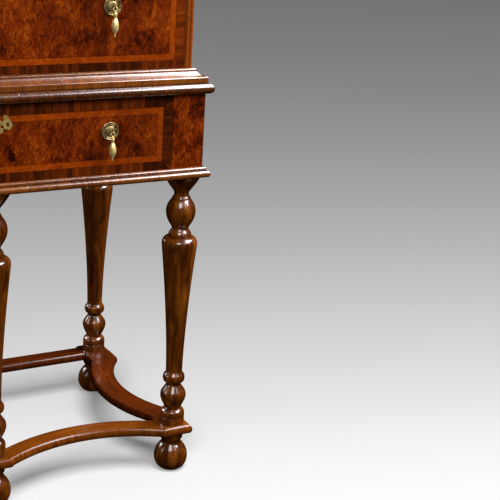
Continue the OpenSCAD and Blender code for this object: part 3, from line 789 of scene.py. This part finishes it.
TAPER_LOW, TAPER_TOP = PAD_TOP + 94.4, BASE_Z - 118
TAPER_NECK, TAPER_SPREAD, TAPER_CURVE, TAPER_STEPS = 13.8, 15.1, 1.6, 28
taper = [(TAPER_NECK + TAPER_SPREAD * (i / TAPER_STEPS) ** TAPER_CURVE,
          TAPER_LOW + (TAPER_TOP - TAPER_LOW) * i / TAPER_STEPS) for i in range(TAPER_STEPS + 1)]
leg_outline = (
    above(PAD_TOP, [(DOWEL, -38), (DOWEL, 0), (20.4, 0), (20.4, 11.4), (19.7, 12.5)])
    + flow(above(PAD_TOP, [(20.4, 13.6), (20.4, 19), (19.2, 23.5), (16.2, 26.6), (13.4, 28)]))
    + flow(above(PAD_TOP, [(13.5, 28.3), (14.4, 31), (16.4, 35.5), (19.4, 42), (21.3, 48),
                           (21.6, 53), (20.6, 58), (18, 62.5), (15, 67), (12.5, 71), (11.9, 74)]))
    + flow(above(PAD_TOP, [(12.3, 74.2), (14.8, 75.6), (17.5, 78.6), (18.5, 83.5), (17.6, 88.4),
                           (15.3, 92), (13.9, 94.2)]))
    + taper
    + flow(above(BASE_Z, [(28.95, -117.4), (28.9, -114.4), (28.1, -110.4), (26, -107),
                          (22.5, -104.7), (19.4, -104), (17.5, -104.1)]))
    + flow(above(BASE_Z, [(17.7, -103.9), (18.5, -101.8), (18.3, -98.4), (16.6, -95), (14.5, -92.2),
                          (13.3, -90)]))
    + flow(above(BASE_Z, [(13.4, -89.7), (14.2, -87.4), (16.2, -84), (19.6, -78.2), (22.7, -70.7),
                          (24, -63), (23.5, -56.3), (21.8, -50.5), (18.6, -44.7), (15.6, -40.6)]))
    + flow(above(BASE_Z, [(15.2, -40.2), (14.9, -38.4), (13.9, -36.6), (12.4, -35), (12, -32),
                          (12.2, -29), (13.9, -26), (17.2, -21.5), (21.5, -15.5), (25.2, -10),
                          (28, -5), (28.9, -2)]))
    + above(BASE_Z, [(27.8, 0), (DOWEL, 0), (DOWEL, 15.5)]))
foot_outline = flow([(15, 0), (19.4, 2), (24.6, 7.5), (27.7, 15), (28.5, 23), (27.3, 31),
                     (24.6, 37.8), (20.8, 43.6), (17.4, 47.6), (16.1, 51), (16.8, 54), (18.8, 57),
                     (20.6, PAD_LOW)])
turned_walnut = turned_wood("turned_walnut_wood")
for node in NODES:
    if node.startswith(("leg_", "foot_")):
        kind, row, hand = node.split("_")
        x = {"left": -LEG_X, "centre": 0, "right": LEG_X}[hand]
        y = LEG_Y if row == "back" else 0
        if kind == "leg":
            turning("turned_" + node, node, x, y, leg_outline)
        else:
            turning("bun_" + node, node, x, y, foot_outline)

# Back of the chest: level oak boards
shape = Shape()
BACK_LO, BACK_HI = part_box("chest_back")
BOARD_TONES, BOARD_GAP = (0.4, 0.75, 0.3, 0.6, 0.5), 0.4
levels = steps(mm(BACK_LO.z), mm(BACK_HI.z), len(BOARD_TONES))
for i, (low, high, tone) in enumerate(zip(levels, levels[1:], BOARD_TONES)):
    y0, y1 = mm(BACK_LO.y + Y_MID), mm(BACK_HI.y + Y_MID)
    low, high = low + BOARD_GAP, high - BOARD_GAP
    ring = [(y0, low), (y1, low), (y1, high), (y0, high)]
    shape.strip([[((x, y, z), (z + 41 * i, y, x)) for y, z in ring]
                 for x in (mm(BACK_LO.x), mm(BACK_HI.x))], tone)
shape.piece("back_boards", grained("back_oak", OAK, 2.0, 0.55, 0.0), ["chest_back"], "oak_lining",
            bevel=1.2)


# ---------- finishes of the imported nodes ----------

DRAWERS = ["stand_drawer", "bottom_drawer", "middle_drawer", "upper_drawer", "top_left_drawer",
           "top_right_drawer"]

# Where the border's strips start, and how far the border lies past the front's lower edge
LAID = (0, 0, 0.047, 0.083, 0.029, 0.101)
STAND_EDGE, CHEST_EDGE = 0.0035, 0.0045
BRASS_SMOOTH = 34

for i, (drawer, laid) in enumerate(zip(DRAWERS, LAID)):
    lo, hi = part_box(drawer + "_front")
    lower = STAND_EDGE if i == 0 else CHEST_EDGE
    front = veneer(drawer + "_veneer", (0, 2), (lo.x, lo.z, hi.x, hi.z), BORDER, FEATHER_BAND,
                   2.3 * i + 0.7, shift=(0, -lower, 0, 0), face=(1, -1), laid=laid)
    finish_node(drawer + "_front", front, 0.5, 50)
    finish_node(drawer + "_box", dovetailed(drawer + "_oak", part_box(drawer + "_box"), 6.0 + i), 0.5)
    fittings = brass(drawer + "_old_brass", OLD_BRASS, escutcheon=(lo.x + hi.x) / 2)
    finish_node(drawer + "_fittings", fittings, None, BRASS_SMOOTH)
finish_node([n for n in NODES if "_drop_" in n], brass("worn_brass", WORN_BRASS, 0.44), None,
            BRASS_SMOOTH)

for part, border in (("chest_side", 0.030), ("stand_side", BORDER)):
    for hand, sign in (("left", -1), ("right", 1)):
        node = f"{part}_{hand}"
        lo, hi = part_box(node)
        outside = veneer(node + "_veneer", (1, 2), (lo.y, lo.z, hi.y, hi.z), border, 0.011,
                         5.5 + 1.7 * sign + border, face=(0, sign))
        finish_node(node, outside, 0.4)
finish_node("stand_stiles", plain_burr("stile_burr", (0, 2), 8.1), 0.4)
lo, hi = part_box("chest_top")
finish_node("chest_top", veneer("chest_top_veneer", (0, 1), (lo.x, lo.y, hi.x, hi.y), 0.045, 0.012,
                                9.4, face=(2, 1), rough=0.45, coat=0.15), 0.5)
finish_node("stand_back", plain_wood("stand_back_oak", 0, OAK, 2.0, 0.55, 0.0), 0.5)
finish_node(["stand_top", "chest_bottom", "chest_boards"],
            plain_wood("board_oak", 0, OAK, 4.0, 0.5, 0.05), 0.4)


# ---------- floor, lights, camera ----------

def light(name, place, target, size, power, receivers, colour=(1, 1, 1)):
    """A soft panel that faces its target and lights one collection only."""
    data = bpy.data.lights.new(name, "AREA")
    data.shape = "RECTANGLE"
    data.size, data.size_y = size
    data.energy = power
    data.color = colour
    lamp = bpy.data.objects.new(name, data)
    scene.collection.objects.link(lamp)
    lamp.location = place
    lamp.rotation_euler = (Vector(target) - Vector(place)).to_track_quat("-Z", "Y").to_euler()
    lamp.light_linking.receiver_collection = receivers
    lamp.visible_camera = False


def collect(name, objects):
    group = bpy.data.collections.new(name)
    for o in objects:
        group.objects.link(o)
    return group


# The floor is painted darker with distance, a painted shade for the light's falloff: its grey at
# each distance in metres along the direction in which it fades
FALL_OFF, NEAR, FAR = math.radians(72), -0.25, 6.75
FALLOFF_SHADE_GREYS = [(-0.2, 0.97), (0.0, 0.885), (0.17, 0.785), (0.4, 0.683), (0.75, 0.56), (1.1, 0.468),
         (1.6, 0.376), (2.2, 0.306), (3.1, 0.242), (4.4, 0.199), (6.5, 0.169)]
FLOOR_HALF = 60
floor_mesh = bpy.data.meshes.new("floor")
floor_mesh.from_pydata([(FLOOR_HALF * x, FLOOR_HALF * y, 0)
                        for x, y in ((-1, -1), (1, -1), (1, 1), (-1, 1))], [], [(0, 1, 2, 3)])
floor = bpy.data.objects.new("floor", floor_mesh)
scene.collection.objects.link(floor)
t = Tree("floor_painted_falloff")
place = t.place()
away = t.math("MULTIPLY_ADD", place[0], math.cos(FALL_OFF),
              t.math("MULTIPLY", place[1], math.sin(FALL_OFF)))
speck = t.noise(t.add("TexCoord", out=3), 90, 2)
# Painted shade: the floor's grey falls with distance from the front.
t.set(Base_Color=t.ramp(t.math("DIVIDE", t.math("SUBTRACT", away, NEAR), FAR - NEAR),
                       [((d - NEAR) / (FAR - NEAR), (g, g, g)) for d, g in FALLOFF_SHADE_GREYS]),
      Roughness=t.math("MULTIPLY_ADD", speck, 0.1, 0.8), Specular_IOR_Level=0.0)
floor.data.materials.append(t.mat)
floor.visible_glossy = False
floor.visible_diffuse = False

everything = list(NODES.values()) + PIECES
arms = [o for o in everything if "stretcher" in o.name]
feet = [o for o in everything if o.name.startswith("bun_foot")]
mouldings = [o for o in PIECES if "moulding" in o.name]
floor_only = collect("floor_only", [floor])
object_only = collect("object_only", everything)
no_mouldings = collect("no_mouldings", [o for o in everything if o not in mouldings])
no_stretchers = collect("no_stretchers", [o for o in everything if o not in arms])
low = collect("low_parts", arms + feet)
arms_only = collect("arms_only", [o for o in arms if o in PIECES])

# Two soft suns that light the floor alone and take their shadows from its lowest parts
for name, toward, spread, energy, blockers in (
        ("floor_sun_left", (-0.75, -1.15, 1.0), 28, 1.9, arms_only),
        ("floor_sun_front", (0.0, -0.45, 1.0), 30, 1.85, low)):
    data = bpy.data.lights.new(name, "SUN")
    data.angle = math.radians(spread)
    data.energy = energy
    sun = bpy.data.objects.new(name, data)
    scene.collection.objects.link(sun)
    sun.rotation_euler = Vector(toward).to_track_quat("Z", "Y").to_euler()
    sun.light_linking.receiver_collection = floor_only
    sun.light_linking.blocker_collection = blockers

# Two strips that show as twin highlights on the turnings, a panel whose sheen lies on the right
# half of the mouldings, and fills: place, target, size, power in watts
LEGS = (0.3, -0.17, 0.3)
light("strip_left", (-0.55, -1.51, 1.82), LEGS, (0.42, 1.2), 7.5, object_only)
light("strip_right", (0.82, -1.69, 1.74), LEGS, (0.3, 1.2), 5.5, no_mouldings)
light("overhead_right", (1.70, -0.75, 2.35), (0.3, -0.75, 0.65), (2.6, 1.1), 160, object_only,
      (0.96, 0.95, 1.0))
light("back_fill", (-1.5, 2.6, 1.9), (0.0, 0.1, 0.7), (1.6, 1.6), 75, no_stretchers)
light("left_fill", (-2.8, 0.4, 1.6), (0.0, 0.0, 0.7), (1.4, 1.4), 30, no_stretchers)
light("front_fill", (-0.8, -2.3, 2.7), (0.1, -0.1, 0.6), (1.6, 1.2), 30, object_only)

world = bpy.data.worlds.new("studio")
scene.world = world
world.use_nodes = True
sky = world.node_tree.nodes["Background"]
sky.inputs["Color"].default_value = (0.5, 0.5, 0.5, 1)
sky.inputs["Strength"].default_value = 0.25
world.cycles_visibility.glossy = False

# The camera that the photograph was fitted with, with its place in the leg frame in metres
CAMERA = (-0.58873, -1.77609, 1.05558)
RIGHT = Vector((0.87127, -0.48739, 0.05781))
UP = Vector((0.10510, 0.30032, 0.94803))
FORWARD = Vector((0.47942, 0.81991, -0.31289))
camera_data = bpy.data.cameras.new("camera")
camera_data.sensor_width = 36.0
camera_data.lens = 92.58
camera = bpy.data.objects.new("camera", camera_data)
scene.collection.objects.link(camera)
turn = Matrix((RIGHT, UP, -FORWARD)).transposed().to_4x4()
camera.matrix_world = Matrix.Translation((CAMERA[0], CAMERA[1] - Y_MID, CAMERA[2])) @ turn
scene.camera = camera
scene.view_settings.view_transform = "Standard"
